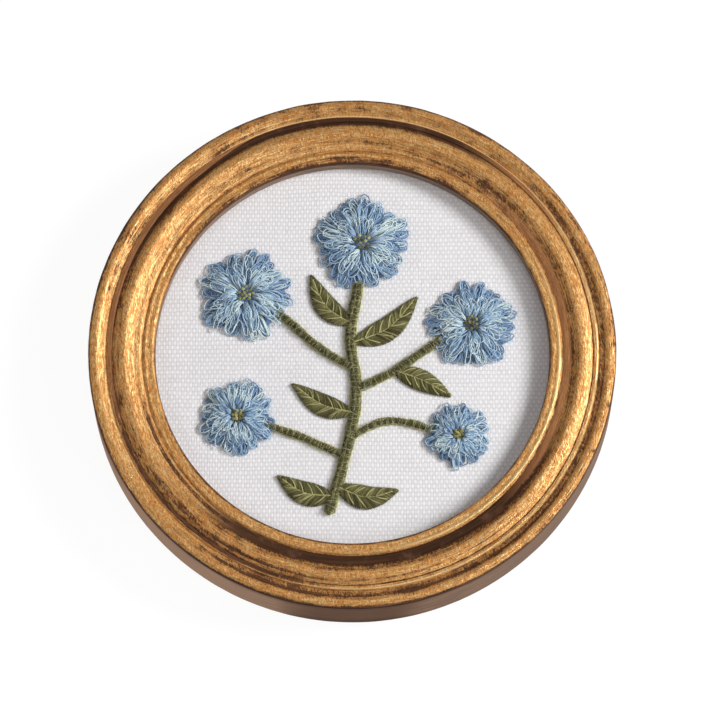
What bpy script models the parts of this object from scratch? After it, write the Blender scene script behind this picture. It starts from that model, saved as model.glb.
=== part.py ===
"""Round framed embroidery: canvas stretched over a board, with a raised sprig of looped-yarn
flowers, in a turned gilt moulding.

Metres, +Z up. The piece lies on its back: z = 0 is the back face of the frame, the stitched
face looks along +Z, and +Y is the top of the picture. The origin is the centre of the back.
"""

import math

import bmesh
import bpy
from mathutils import Vector

MM = 0.001

# ---------------------------------------------------------------- driving sizes, in mm
GAP = 0.3  # between pieces that lie on or beside each other

FRAME_R = 55.0  # outer arris of the moulding
MOULDING_W = 13.83  # from the outer arris in to the sight edge
ARRIS_Z = 13.3  # height of the outer arris above the back
SKIRT_R, SKIRT_Z = 55.3, 0.6  # foot of the side wall, above a small chamfer
REBATE_R = 44.9  # step behind the moulding that takes the canvas and board
REBATE_Z = 9.2  # underside of the lip
SEGMENTS = 64

CANVAS_R, CANVAS_T = 44.6, 1.0
BOARD_R, BOARD_T = 44.6, 3.0
CANVAS_Z = REBATE_Z - GAP - CANVAS_T
BOARD_Z = CANVAS_Z - GAP - BOARD_T
STITCH_Z = CANVAS_Z + CANVAS_T + GAP  # where the raised work starts

# The moulding from its outer arris to the sight edge. across is the share of MOULDING_W,
# rise is the height above the arris.
MOULDING_COLUMNS = ("where", "across", "rise")
MOULDING = (
    ("outer arris", 0.000, 0.00),
    ("outer bead", 0.034, 0.40),
    ("outer bead", 0.084, 0.56),
    ("outer bead", 0.117, 0.56),
    ("outer bead", 0.150, 0.40),
    ("outer bead", 0.180, 0.10),
    ("shallow groove", 0.214, -0.15),
    ("shallow groove", 0.242, -0.20),
    ("crest", 0.279, 0.03),
    ("fillet", 0.336, -0.01),
    ("quirk", 0.350, -0.26),
    ("main bead", 0.372, -0.08),
    ("main bead", 0.421, 0.24),
    ("main bead", 0.480, 0.45),
    ("main bead", 0.522, 0.49),
    ("main bead", 0.563, 0.40),
    ("main bead", 0.632, -0.03),
    ("inner slope", 0.661, -0.22),
    ("inner slope", 0.700, -0.42),
    ("inner slope", 0.770, -0.62),
    ("inner quirk", 0.805, -0.97),
    ("lip", 0.843, -0.68),
    ("lip", 0.875, -0.58),
    ("lip", 0.926, -0.57),
    ("lip", 0.961, -0.64),
    ("lip", 0.985, -0.90),
    ("sight edge", 1.000, -1.35),
)

# Flower heads of looped yarn: centre, outer radius, height above the canvas, and the angle
# of the first petal in degrees.
FLOWER_COLUMNS = ("name", "x", "y", "radius", "height", "turn")
FLOWERS = (
    ("flower_top", 2.0, 24.5, 10.8, 2.4, 90.0),
    ("flower_right", 25.0, 6.5, 10.0, 2.3, 20.0),
    ("flower_left", -22.5, 13.0, 10.4, 2.4, 150.0),
    ("flower_low_left", -24.0, -13.5, 8.4, 2.2, 205.0),
    ("flower_low_right", 22.0, -17.5, 7.2, 2.1, 330.0),
)
PETALS = 5
PETAL_DEPTH = 0.18  # how far the outline draws in between petals
FLOWER_SEGMENTS = 40
# The crown of a flower head: share of its radius and of its height, rim to centre.
CROWN_COLUMNS = ("out", "up")
CROWN = ((1.0, 0.0), (1.0, 0.40), (0.90, 0.85), (0.70, 1.0), (0.40, 0.90), (0.18, 0.62))

# Stems of couched yarn, each a smooth line through a few points, and its width.
STEM_COLUMNS = ("name", "width", "points")
STEMS = (
    ("stem_main", 2.6, ((-5.0, -34.5), (-1.8, -23.0), (0.8, -9.0), (-0.4, 4.0), (1.4, 16.0))),
    ("stem_right", 2.1, ((0.6, -7.5), (8.0, -4.0), (16.0, 1.5), (20.0, 4.0))),
    ("stem_left", 2.1, ((0.4, -3.0), (-7.0, 1.5), (-14.0, 7.8), (-18.0, 10.5))),
    ("stem_low_left", 1.9, ((-1.6, -22.0), (-9.0, -18.5), (-17.0, -15.5), (-20.0, -14.6))),
    ("stem_low_right", 1.8, ((-0.8, -18.0), (6.0, -14.6), (12.0, -14.8), (17.5, -16.8))),
)
STEM_H = 1.3
STEM_STATIONS = 22

# Leaves of raised satin stitch: base, a point that sets the bend, tip, and the width.
LEAF_COLUMNS = ("name", "width", "points")
LEAVES = (
    ("leaf_1", 5.0, ((-3.2, -28.5), (3.0, -30.8), (9.5, -29.2))),
    ("leaf_2", 5.0, ((-3.8, -30.5), (-10.0, -29.8), (-15.5, -26.2))),
    ("leaf_3", 4.8, ((0.0, -12.6), (-6.5, -10.8), (-12.5, -6.4))),
    ("leaf_4", 4.6, ((8.6, -3.4), (14.5, -5.6), (20.5, -9.0))),
    ("leaf_5", 5.2, ((0.2, 2.6), (7.6, 5.8), (13.6, 12.6))),
    ("leaf_6", 4.8, ((-0.2, 6.6), (-5.6, 10.6), (-8.8, 17.4))),
)
LEAF_H = 1.0
LEAF_STATIONS = 12
LEAF_END = 0.5  # width of a leaf at its base and tip

# Half-round section of a stem or leaf: share of the half width and of the height.
PAD_COLUMNS = ("across", "up")
PAD = ((-1.0, 0.0), (-0.94, 0.45), (-0.55, 0.88), (0.0, 1.0), (0.55, 0.88), (0.94, 0.45), (1.0, 0.0))

# Finish of each sub-part: linear colour, roughness, metallic.
FINISH_COLUMNS = ("colour", "roughness", "metallic")
FINISHES = {
    "antique_gilt": ((0.42, 0.20, 0.065), 0.38, 0.85),
    "canvas": ((0.76, 0.75, 0.77), 0.90, 0.0),
    "board": ((0.30, 0.21, 0.13), 0.85, 0.0),
    "blue_yarn": ((0.15, 0.30, 0.56), 0.88, 0.0),
    "green_yarn": ((0.13, 0.15, 0.035), 0.85, 0.0),
}


# ---------------------------------------------------------------- helpers
def clear_scene():
    for obj in list(bpy.data.objects):
        bpy.data.objects.remove(obj, do_unlink=True)


def finish(name):
    found = bpy.data.materials.get(name)
    if found:
        return found
    colour, roughness, metallic = FINISHES[name]
    material = bpy.data.materials.new(name)
    material.use_nodes = True
    shader = material.node_tree.nodes["Principled BSDF"]
    shader.inputs["Base Color"].default_value = (*colour, 1.0)
    shader.inputs["Roughness"].default_value = roughness
    shader.inputs["Metallic"].default_value = metallic
    return material


def add_object(name, shape, material, parent, smooth_deg=40.0):
    """The bmesh as a named object in metres, under the piece's empty."""
    bmesh.ops.recalc_face_normals(shape, faces=shape.faces[:])
    bmesh.ops.scale(shape, vec=(MM, MM, MM), verts=shape.verts[:])
    mesh = bpy.data.meshes.new(name)
    shape.to_mesh(mesh)
    shape.free()
    mesh.shade_smooth()
    mesh.set_sharp_from_angle(angle=math.radians(smooth_deg))
    mesh.materials.append(finish(material))
    obj = bpy.data.objects.new(name, mesh)
    bpy.context.scene.collection.objects.link(obj)
    obj.parent = parent
    return obj


def turned(profile):
    """A closed profile of (radius, z) spun once round the Z axis."""
    shape = bmesh.new()
    verts = [shape.verts.new((r, 0.0, z)) for r, z in profile]
    edges = [shape.edges.new((a, b)) for a, b in zip(verts, verts[1:] + verts[:1])]
    bmesh.ops.spin(
        shape,
        geom=verts + edges,
        cent=(0.0, 0.0, 0.0),
        axis=(0.0, 0.0, 1.0),
        angle=math.tau,
        steps=SEGMENTS,
        use_merge=True,
    )
    bmesh.ops.remove_doubles(shape, verts=shape.verts[:], dist=1e-4)
    return shape


def disc(radius, bottom, thickness):
    shape = bmesh.new()
    bmesh.ops.create_cone(
        shape,
        cap_ends=True,
        cap_tris=False,
        segments=SEGMENTS,
        radius1=radius,
        radius2=radius,
        depth=thickness,
    )
    bmesh.ops.translate(shape, vec=(0.0, 0.0, bottom + thickness / 2), verts=shape.verts[:])
    return shape


def smooth_line(points, per_span=40):
    """A Catmull-Rom line through the points, as 2-D vectors."""
    knots = [Vector(p) for p in points]
    knots = [2 * knots[0] - knots[1], *knots, 2 * knots[-1] - knots[-2]]
    line = []
    for a, b, c, d in zip(knots, knots[1:], knots[2:], knots[3:]):
        for step in range(per_span):
            t = step / per_span
            line.append(
                0.5
                * (
                    2 * b
                    + (c - a) * t
                    + (2 * a - 5 * b + 4 * c - d) * t * t
                    + (3 * b - a - 3 * c + d) * t * t * t
                )
            )
    line.append(knots[-2].copy())
    return line


def sideways(line, i):
    """The unit normal to a line at its point i, to the left of its run."""
    run = (line[min(i + 1, len(line) - 1)] - line[max(i - 1, 0)]).normalized()
    return Vector((-run.y, run.x))


def from_flower(row):
    _, x, y, radius, _, _ = row
    centre = Vector((x, y))
    return lambda p: (p - centre).length - radius


def from_stem(line, width):
    return lambda p: min((p - q).length for q in line) - width / 2


def clear_run(line, half_width, obstacles):
    """The longest stretch of the line whose two sides stay GAP away from every obstacle."""
    best, run = [], []
    for i, point in enumerate(line):
        side = sideways(line, i) * half_width
        if all(away(p) >= GAP for away in obstacles for p in (point + side, point - side)):
            run.append(point)
        else:
            run = []
        if len(run) > len(best):
            best = list(run)
    return best


def stations(line, count):
    """count points spaced evenly along the line."""
    lengths = [0.0]
    for a, b in zip(line, line[1:]):
        lengths.append(lengths[-1] + (b - a).length)
    out, k = [], 0
    for i in range(count):
        want = lengths[-1] * i / (count - 1)
        while k < len(lengths) - 2 and lengths[k + 1] < want:
            k += 1
        span = lengths[k + 1] - lengths[k]
        out.append(line[k].lerp(line[k + 1], (want - lengths[k]) / span))
    return out


def pad(line, half_width_at, height):
    """A closed half-round pad along a line: half_width_at gives its half width at 0 to 1."""
    shape = bmesh.new()
    rings = []
    for i, point in enumerate(line):
        half = half_width_at(i / (len(line) - 1))
        side = sideways(line, i)
        tall = height * min(1.0, 0.45 + half)
        ring = []
        for across, up in PAD:
            at = point + side * half * across
            ring.append(shape.verts.new((at.x, at.y, STITCH_Z + up * tall)))
        rings.append(ring)
    for ring, following in zip(rings, rings[1:]):
        for k in range(len(PAD)):
            n = (k + 1) % len(PAD)
            shape.faces.new((ring[k], ring[n], following[n], following[k]))
    shape.faces.new(rings[0])
    shape.faces.new(rings[-1])
    return shape


def flower_head(x, y, radius, height, turn):
    """A low lobed crown with a dimple in its middle, on a flat base."""
    shape = bmesh.new()
    rings = []
    for out, up in CROWN:
        ring = []
        for i in range(FLOWER_SEGMENTS):
            angle = math.tau * i / FLOWER_SEGMENTS
            lobe = abs(math.cos(PETALS * (angle - math.radians(turn)) / 2)) ** 0.7
            reach = radius * out * (1 - PETAL_DEPTH * out * (1 - lobe))
            tall = height * up * (1 - 0.22 * (1 - lobe) * out)
            ring.append(
                shape.verts.new(
                    (x + reach * math.cos(angle), y + reach * math.sin(angle), STITCH_Z + tall)
                )
            )
        rings.append(ring)
    for ring, following in zip(rings, rings[1:]):
        for k in range(FLOWER_SEGMENTS):
            n = (k + 1) % FLOWER_SEGMENTS
            shape.faces.new((ring[k], ring[n], following[n], following[k]))
    shape.faces.new(rings[0])
    centre = shape.verts.new((x, y, STITCH_Z + 0.5 * height))
    last = rings[-1]
    for k in range(FLOWER_SEGMENTS):
        shape.faces.new((last[k], last[(k + 1) % FLOWER_SEGMENTS], centre))
    return shape


# ---------------------------------------------------------------- the pieces
def frame_profile():
    front = [(FRAME_R - MOULDING_W * across, ARRIS_Z + rise) for _, across, rise in MOULDING]
    back = [
        (front[-1][0], REBATE_Z),
        (REBATE_R, REBATE_Z),
        (REBATE_R, 0.0),
        (FRAME_R, 0.0),
        (SKIRT_R, SKIRT_Z),
    ]
    return front + back


def build():
    clear_scene()
    piece = bpy.data.objects.new("framed_embroidery", None)
    bpy.context.scene.collection.objects.link(piece)

    add_object("frame", turned(frame_profile()), "antique_gilt", piece, smooth_deg=35.0)
    add_object("cloth", disc(CANVAS_R, CANVAS_Z, CANVAS_T), "canvas", piece)
    add_object("backing_board", disc(BOARD_R, BOARD_Z, BOARD_T), "board", piece)

    for name, x, y, radius, height, turn in FLOWERS:
        add_object(name, flower_head(x, y, radius, height, turn), "blue_yarn", piece)

    obstacles = [from_flower(row) for row in FLOWERS]
    for name, width, points in STEMS:
        line = clear_run(smooth_line(points), width / 2, obstacles)
        shape = pad(stations(line, STEM_STATIONS), lambda t, w=width: w / 2, STEM_H)
        add_object(name, shape, "green_yarn", piece)
        obstacles.append(from_stem(line, width))

    for name, width, points in LEAVES:
        line = clear_run(smooth_line(points), LEAF_END / 2, obstacles)

        def leaf_half(t, w=width):
            return LEAF_END / 2 + (w - LEAF_END) / 2 * math.sin(math.pi * t**0.8) ** 0.9

        shape = pad(stations(line, LEAF_STATIONS), leaf_half, LEAF_H)
        add_object(name, shape, "green_yarn", piece)


build()
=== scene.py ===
"""Looks of the round framed embroidery: gilt moulding, woven canvas, looped-yarn flowers,
couched stems and satin-stitch leaves. Metres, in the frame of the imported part."""

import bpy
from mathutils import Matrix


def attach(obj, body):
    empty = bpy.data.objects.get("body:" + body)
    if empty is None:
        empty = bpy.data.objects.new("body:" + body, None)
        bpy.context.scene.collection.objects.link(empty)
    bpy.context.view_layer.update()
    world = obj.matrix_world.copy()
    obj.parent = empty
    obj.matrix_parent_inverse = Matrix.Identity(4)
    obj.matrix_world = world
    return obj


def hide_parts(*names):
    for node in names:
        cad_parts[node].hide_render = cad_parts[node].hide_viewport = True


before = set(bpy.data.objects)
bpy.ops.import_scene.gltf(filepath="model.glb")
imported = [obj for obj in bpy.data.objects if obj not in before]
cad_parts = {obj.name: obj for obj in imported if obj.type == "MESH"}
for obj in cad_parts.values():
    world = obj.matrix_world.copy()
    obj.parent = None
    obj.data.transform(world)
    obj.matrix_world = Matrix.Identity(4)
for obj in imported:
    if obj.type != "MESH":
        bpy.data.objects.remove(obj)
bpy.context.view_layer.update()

import math

import bpy
import numpy as np

MM = 0.001
TAU = math.tau

# ---------------------------------------------------------------- sizes shared with the part, in mm
FRAME_R, MOULDING_W, ARRIS_Z = 55.0, 13.83, 13.3
SKIRT_R, SKIRT_Z = 55.3, 0.6
REBATE_R, REBATE_Z = 44.9, 9.2
CANVAS_R, CANVAS_TOP, CANVAS_T = 44.6, 8.9, 0.7

# across (share of the width), rise (mm above the arris), corner (1 where the line breaks)
MOULDING = (
    (0.000, -0.02, 1),
    (0.014, 0.22, 0),
    (0.034, 0.40, 0),
    (0.084, 0.56, 0),
    (0.117, 0.56, 0),
    (0.150, 0.40, 0),
    (0.180, 0.14, 0),
    (0.205, -0.02, 0),
    (0.228, -0.12, 0),
    (0.250, -0.22, 0),
    (0.266, -0.28, 0),
    (0.273, -0.16, 0),
    (0.281, 0.01, 1),
    (0.290, 0.03, 0),
    (0.315, 0.02, 0),
    (0.336, 0.00, 1),
    (0.343, -0.18, 0),
    (0.350, -0.26, 1),
    (0.358, -0.20, 0),
    (0.372, -0.08, 0),
    (0.395, 0.08, 0),
    (0.421, 0.24, 0),
    (0.450, 0.37, 0),
    (0.480, 0.46, 0),
    (0.509, 0.52, 0),
    (0.534, 0.53, 0),
    (0.560, 0.46, 0),
    (0.592, 0.24, 0),
    (0.630, -0.02, 0),
    (0.661, -0.22, 0),
    (0.685, -0.36, 0),
    (0.705, -0.44, 0),
    (0.735, -0.51, 0),
    (0.765, -0.59, 0),
    (0.780, -0.68, 0),
    (0.796, -0.90, 0),
    (0.805, -0.97, 1),
    (0.818, -0.85, 0),
    (0.833, -0.65, 0),
    (0.847, -0.57, 0),
    (0.861, -0.57, 0),
    (0.880, -0.64, 0),
    (0.902, -0.68, 0),
    (0.930, -0.66, 0),
    (0.958, -0.67, 0),
    (0.978, -0.77, 0),
    (0.992, -1.04, 0),
    (1.000, -1.35, 1),
)

# name, x, y, radius, height, turn in degrees
FLOWERS = (
    ("flower_top", 2.0, 24.5, 10.8, 2.4, 90.0),
    ("flower_right", 25.0, 6.5, 10.0, 2.3, 20.0),
    ("flower_left", -22.5, 13.0, 10.4, 2.4, 150.0),
    ("flower_low_left", -24.0, -13.5, 8.4, 2.2, 205.0),
    ("flower_low_right", 22.0, -17.5, 7.2, 2.1, 330.0),
)
PETALS, PETAL_DEPTH = 5, 0.18

# name, width, points
STEMS = (
    ("stem_main", 2.6, ((-5.0, -34.5), (-1.8, -23.0), (0.8, -9.0), (-0.4, 4.0), (1.4, 16.0))),
    ("stem_right", 2.1, ((0.6, -7.5), (8.0, -4.0), (16.0, 1.5), (20.0, 4.0))),
    ("stem_left", 2.1, ((0.4, -3.0), (-7.0, 1.5), (-14.0, 7.8), (-18.0, 10.5))),
    ("stem_low_left", 1.9, ((-1.6, -22.0), (-9.0, -18.5), (-17.0, -15.5), (-20.0, -14.6))),
    ("stem_low_right", 1.8, ((-0.8, -18.0), (6.0, -14.6), (12.0, -14.8), (17.5, -16.8))),
)
LEAVES = (
    ("leaf_1", 5.0, ((-3.2, -28.5), (3.0, -30.8), (9.5, -29.2))),
    ("leaf_2", 5.0, ((-3.8, -30.5), (-10.0, -29.8), (-15.5, -26.2))),
    ("leaf_3", 4.8, ((0.0, -12.6), (-6.5, -10.8), (-12.5, -6.4))),
    ("leaf_4", 4.6, ((8.6, -3.4), (14.5, -5.6), (20.5, -9.0))),
    ("leaf_5", 5.2, ((0.2, 2.6), (7.6, 5.8), (13.6, 12.6))),
    ("leaf_6", 4.8, ((-0.2, 6.6), (-5.6, 10.6), (-8.8, 17.4))),
)

# Canvas weave, from the photo's thread counts: warp pitch along X, weft pitch along Y.
WARP, WEFT = 0.552, 0.907

# ---------------------------------------------------------------- camera and lights
VIEW_TILT = math.radians(16.0)  # from the face's own axis
VIEW_DISTANCE = 14.0 * FRAME_R
VIEW_OFFSET = (-0.0287 * FRAME_R, 0.0404 * FRAME_R)
PIXELS_PER_RADIUS, PICTURE = 264.1, 720.0
KEY_AZIMUTH, KEY_ELEVATION, KEY_DISTANCE = 8.0, 35.0, 1.2


# ================================================================ node helper
class Nodes:
    """A material's node tree, written as expressions."""

    def __init__(self, name):
        self.material = bpy.data.materials.new(name)
        self.material.use_nodes = True
        self.tree = self.material.node_tree
        self.tree.nodes.clear()

    def add(self, kind, **settings):
        node = self.tree.nodes.new(kind)
        for key, value in settings.items():
            setattr(node, key, value)
        return node

    def feed(self, socket, value):
        if isinstance(value, bpy.types.NodeSocket):
            self.tree.links.new(value, socket)
        else:
            socket.default_value = value

    def math(self, operation, a, b=None, c=None, clamp=False):
        node = self.add("ShaderNodeMath", operation=operation, use_clamp=clamp)
        for socket, value in zip(node.inputs, (a, b, c)):
            if value is not None:
                self.feed(socket, value)
        return node.outputs[0]

    def plus(self, a, b):
        return self.math("ADD", a, b)

    def times(self, a, b):
        return self.math("MULTIPLY", a, b)

    def vector(self, x, y, z):
        node = self.add("ShaderNodeCombineXYZ")
        for socket, value in zip(node.inputs, (x, y, z)):
            self.feed(socket, value)
        return node.outputs[0]

    def scaled(self, vector, factor):
        node = self.add("ShaderNodeVectorMath", operation="SCALE")
        self.feed(node.inputs[0], vector)
        self.feed(node.inputs["Scale"], factor)
        return node.outputs[0]

    def stretched(self, vector, x, y, z):
        node = self.add("ShaderNodeVectorMath", operation="MULTIPLY")
        self.feed(node.inputs[0], vector)
        node.inputs[1].default_value = (x, y, z)
        return node.outputs[0]

    def place(self):
        """Object position in mm, and its three parts."""
        coords = self.add("ShaderNodeTexCoord").outputs["Object"]
        at = self.scaled(coords, 1000.0)
        parts = self.add("ShaderNodeSeparateXYZ")
        self.feed(parts.inputs[0], at)
        return at, parts.outputs[0], parts.outputs[1], parts.outputs[2]

    def attribute(self, name):
        return self.add("ShaderNodeAttribute", attribute_name=name).outputs["Fac"]

    def mix(self, fac, a, b):
        node = self.add("ShaderNodeMix", data_type="FLOAT")
        for index, value in ((0, fac), (2, a), (3, b)):
            self.feed(node.inputs[index], value)
        return node.outputs[0]

    def mix_colour(self, fac, a, b, blend="MIX"):
        node = self.add("ShaderNodeMix", data_type="RGBA", blend_type=blend)
        for index, value in ((0, fac), (6, a), (7, b)):
            if isinstance(value, tuple):
                value = (*value[:3], 1.0)
            self.feed(node.inputs[index], value)
        return node.outputs[2]

    def noise(self, vector, scale=1.0, detail=2.0, roughness=0.5, w=None, distortion=0.0):
        node = self.add("ShaderNodeTexNoise", noise_dimensions="3D" if w is None else "4D")
        self.feed(node.inputs["Vector"], vector)
        if w is not None:
            self.feed(node.inputs["W"], w)
        node.inputs["Scale"].default_value = scale
        node.inputs["Detail"].default_value = detail
        node.inputs["Roughness"].default_value = roughness
        node.inputs["Distortion"].default_value = distortion
        return node.outputs["Fac"]

    def ramp(self, fac, stops, interpolation="LINEAR"):
        node = self.add("ShaderNodeValToRGB")
        node.color_ramp.interpolation = interpolation
        elements = node.color_ramp.elements
        while len(elements) < len(stops):
            elements.new(0.5)
        for element, (position, colour) in zip(elements, stops):
            element.position = position
            value = (colour,) * 3 if isinstance(colour, float) else colour
            element.color = (*value, 1.0)
        self.feed(node.inputs[0], fac)
        return node.outputs["Color"]

    def curve(self, fac, stops):
        """A float read off a piecewise line of (position, value)."""
        parts = self.add("ShaderNodeSeparateColor")
        self.feed(parts.inputs[0], self.ramp(fac, stops))
        return parts.outputs[0]

    def between(self, value, low, high, to_low=0.0, to_high=1.0):
        node = self.add("ShaderNodeMapRange", interpolation_type="SMOOTHSTEP")
        for index, number in enumerate((value, low, high, to_low, to_high)):
            self.feed(node.inputs[index], number)
        return node.outputs[0]

    def bump(self, height, strength, distance_mm, normal=None):
        node = self.add("ShaderNodeBump")
        node.inputs["Strength"].default_value = strength
        node.inputs["Distance"].default_value = distance_mm * MM
        self.feed(node.inputs["Height"], height)
        if normal is not None:
            self.feed(node.inputs["Normal"], normal)
        return node.outputs[0]

    def principled(self, colour, roughness, metallic=0.0, normal=None, **fixed):
        node = self.add("ShaderNodeBsdfPrincipled")
        if isinstance(colour, tuple):
            colour = (*colour, 1.0)
        self.feed(node.inputs["Base Color"], colour)
        self.feed(node.inputs["Roughness"], roughness)
        self.feed(node.inputs["Metallic"], metallic)
        if normal is not None:
            self.feed(node.inputs["Normal"], normal)
        for key, value in fixed.items():
            node.inputs[key.replace("_", " ")].default_value = value
        out = self.add("ShaderNodeOutputMaterial")
        self.tree.links.new(node.outputs[0], out.inputs[0])
        return self.material

    # -- polar coordinates of the ring
    def ring(self, x, y, z):
        radius = self.math(
            "SQRT", self.plus(self.times(x, x), self.times(y, y))
        )
        return radius, self.math("DIVIDE", x, radius), self.math("DIVIDE", y, radius)

    def ring_noise(self, polar, z, along_mm, across_mm, detail=2.0, roughness=0.5, seed=0.0):
        """Noise stretched along the ring: its grain is along_mm round it and across_mm over it."""
        radius, cx, cy = polar
        round_it = 50.0 / along_mm
        vector = self.vector(
            self.times(cx, round_it), self.times(cy, round_it), self.times(radius, 1 / across_mm)
        )
        w = self.plus(self.times(z, 1 / across_mm), seed)
        return self.noise(vector, 1.0, detail, roughness, w=w)


# ================================================================ mesh helpers
class Builder:
    """Collects closed shapes in mm and makes them one mesh, with a tone and a paleness per vertex."""

    def __init__(self):
        self.points, self.quads, self.tris = [], [], []
        self.quad_slots, self.tri_slots, self.tones, self.pales = [], [], [], []
        self.count = 0

    def add(self, points, quads=None, tris=None, slot=0, tone=0.5, pale=0.0):
        points = np.asarray(points, float).reshape(-1, 3)
        self.points.append(points)
        for faces, kept, slots, sides in (
            (quads, self.quads, self.quad_slots, 4),
            (tris, self.tris, self.tri_slots, 3),
        ):
            if faces is not None and len(faces):
                faces = np.asarray(faces, np.int64).reshape(-1, sides)
                kept.append(faces + self.count)
                slots.append(np.broadcast_to(np.asarray(slot), (len(faces),)).astype(np.int32))
        self.tones.append(np.broadcast_to(np.asarray(tone, float), (len(points),)))
        self.pales.append(np.broadcast_to(np.asarray(pale, float), (len(points),)))
        self.count += len(points)

    def tubes(self, paths, radii, sides=5, slot=0, tone=0.5, pale=0.0):
        """Closed tubes along paths of (tube, point, xyz). radii is per tube or per point."""
        paths = np.asarray(paths, float)
        tubes, length, _ = paths.shape
        radii = np.broadcast_to(
            np.asarray(radii, float).reshape(-1, 1) if np.ndim(radii) == 1 else radii,
            (tubes, length),
        )
        run = np.gradient(paths, axis=1)
        run /= np.maximum(np.linalg.norm(run, axis=2, keepdims=True), 1e-9)
        side = np.zeros_like(paths)
        first = np.cross(run[:, 0], (0.0, 0.0, 1.0))
        weak = np.linalg.norm(first, axis=1) < 1e-3
        first[weak] = np.cross(run[weak, 0], (0.0, 1.0, 0.0))
        side[:, 0] = first / np.linalg.norm(first, axis=1, keepdims=True)
        for i in range(1, length):
            moved = side[:, i - 1] - (side[:, i - 1] * run[:, i]).sum(1, keepdims=True) * run[:, i]
            side[:, i] = moved / np.maximum(np.linalg.norm(moved, axis=1, keepdims=True), 1e-9)
        up = np.cross(run, side)
        turn = np.arange(sides) / sides * TAU
        ring = (
            np.cos(turn)[None, None, :, None] * side[:, :, None, :]
            + np.sin(turn)[None, None, :, None] * up[:, :, None, :]
        )
        skin = paths[:, :, None, :] + radii[:, :, None, None] * ring
        ends = paths[:, [0, -1], :]
        index = np.arange(tubes * length * sides).reshape(tubes, length, sides)
        onward = np.roll(index, -1, axis=2)
        quads = np.stack(
            [index[:, :-1], onward[:, :-1], onward[:, 1:], index[:, 1:]], axis=-1
        ).reshape(-1, 4)
        centre = tubes * length * sides + np.arange(tubes * 2).reshape(tubes, 2)
        start = np.stack(
            [np.broadcast_to(centre[:, :1], (tubes, sides)), onward[:, 0], index[:, 0]], axis=-1
        )
        end = np.stack(
            [np.broadcast_to(centre[:, 1:], (tubes, sides)), index[:, -1], onward[:, -1]], axis=-1
        )
        tris = np.concatenate([start, end], axis=1).reshape(-1, 3)

        def per_vertex(value):
            value = np.broadcast_to(np.asarray(value, float), (tubes,))
            return np.concatenate([np.repeat(value, length * sides), np.repeat(value, 2)])

        self.add(
            np.concatenate([skin.reshape(-1, 3), ends.reshape(-1, 3)]),
            quads,
            tris,
            slot,
            per_vertex(tone),
            per_vertex(pale),
        )

    def build(self, name, materials, sharp_deg=None):
        points = np.concatenate(self.points) * MM
        quads = np.concatenate(self.quads) if self.quads else np.zeros((0, 4), np.int64)
        tris = np.concatenate(self.tris) if self.tris else np.zeros((0, 3), np.int64)
        mesh = bpy.data.meshes.new(name)
        mesh.vertices.add(len(points))
        mesh.vertices.foreach_set("co", points.astype(np.float32).ravel())
        corners = np.concatenate([quads.ravel(), tris.ravel()]).astype(np.int32)
        starts = np.concatenate(
            [np.arange(len(quads)) * 4, len(quads) * 4 + np.arange(len(tris)) * 3]
        ).astype(np.int32)
        mesh.loops.add(len(corners))
        mesh.loops.foreach_set("vertex_index", corners)
        mesh.polygons.add(len(starts))
        mesh.polygons.foreach_set("loop_start", starts)
        slots = np.concatenate([*self.quad_slots, *self.tri_slots]).astype(np.int32)
        for material in materials:
            mesh.materials.append(material)
        mesh.polygons.foreach_set("material_index", slots)
        mesh.update(calc_edges=True)
        mesh.validate()
        for key, values in (("tone", self.tones), ("pale", self.pales)):
            found = mesh.attributes.new(key, "FLOAT", "POINT")
            found.data.foreach_set("value", np.concatenate(values).astype(np.float32))
        mesh.shade_smooth()
        if sharp_deg is not None:
            mesh.set_sharp_from_angle(angle=math.radians(sharp_deg))
        obj = bpy.data.objects.new(name, mesh)
        bpy.context.scene.collection.objects.link(obj)
        return obj


def place(obj, slot, *nodes):
    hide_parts(*nodes)
    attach(obj, "root")
    return obj


def smooth_line(points, step):
    """A Catmull-Rom line through 2-D or 3-D points, with points about step apart."""
    knots = np.asarray(points, float)
    knots = np.vstack([2 * knots[0] - knots[1], knots, 2 * knots[-1] - knots[-2]])
    t = np.linspace(0, 1, 60, endpoint=False)[:, None]
    line = []
    for a, b, c, d in zip(knots, knots[1:], knots[2:], knots[3:]):
        line.append(
            0.5
            * (
                2 * b
                + (c - a) * t
                + (2 * a - 5 * b + 4 * c - d) * t**2
                + (3 * b - a - 3 * c + d) * t**3
            )
        )
    line = np.vstack([*line, knots[-2][None]])
    run = np.r_[0, np.cumsum(np.linalg.norm(np.diff(line, axis=0), axis=1))]
    wanted = np.linspace(0, run[-1], max(4, int(round(run[-1] / step)) + 1))
    return np.stack([np.interp(wanted, run, line[:, k]) for k in range(line.shape[1])], axis=1)


def soft_field(rng, shape, widths):
    """White noise blurred to these widths in cells, wrapping both ways, with unit spread."""
    white = np.fft.fft2(rng.standard_normal(shape))
    for axis, width in enumerate(widths):
        wave = np.fft.fftfreq(shape[axis])
        fall = np.exp(-2 * (math.pi * wave * width) ** 2)
        white *= fall[:, None] if axis == 0 else fall[None, :]
    field = np.real(np.fft.ifft2(white))
    return field / field.std()


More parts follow.
